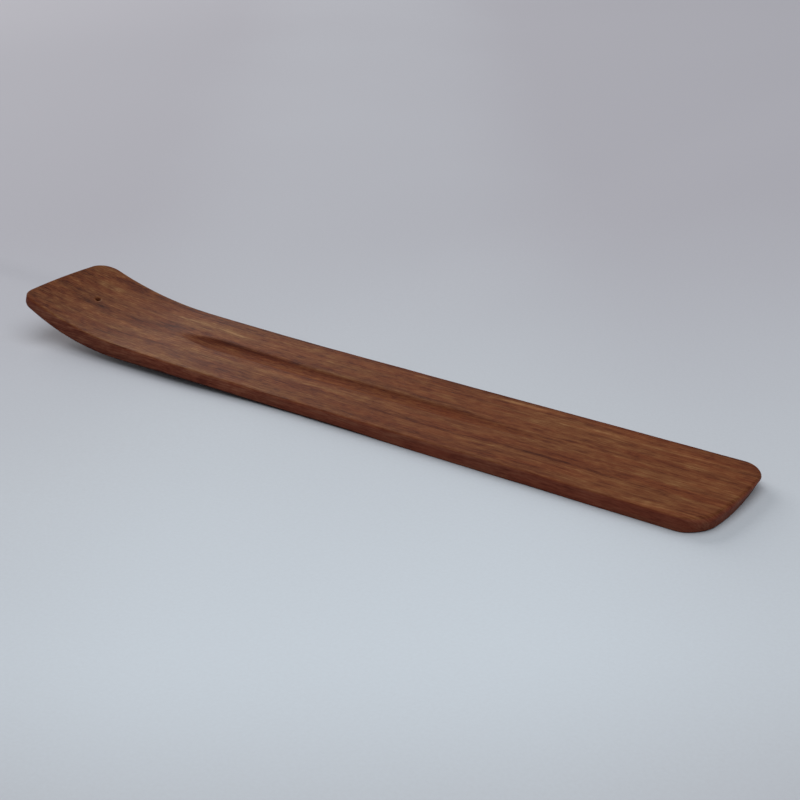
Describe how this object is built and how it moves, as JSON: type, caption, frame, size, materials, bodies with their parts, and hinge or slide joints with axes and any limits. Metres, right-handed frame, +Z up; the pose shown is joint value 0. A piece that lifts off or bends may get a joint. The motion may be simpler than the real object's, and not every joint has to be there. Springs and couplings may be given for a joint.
{
  "type": "incense stick holder",
  "caption": "Long flat wooden strip with one end swept up, a small stick hole near the raised tip, and a shallow ash groove along the middle.",
  "frame": {"origin": "on the table, under the middle of the outer box", "axes": "+Z up; +X along the length towards the flat end, so the raised end is at -X; +Y across the width"},
  "size_m": [0.2504, 0.038, 0.0139],
  "materials": {
    "oiled_hardwood": "sanded by hand and lightly oiled, satin, open grain along the length"
  },
  "bodies": {
    "root": {"holder_body": "oiled_hardwood"}
  },
  "joints": []
}
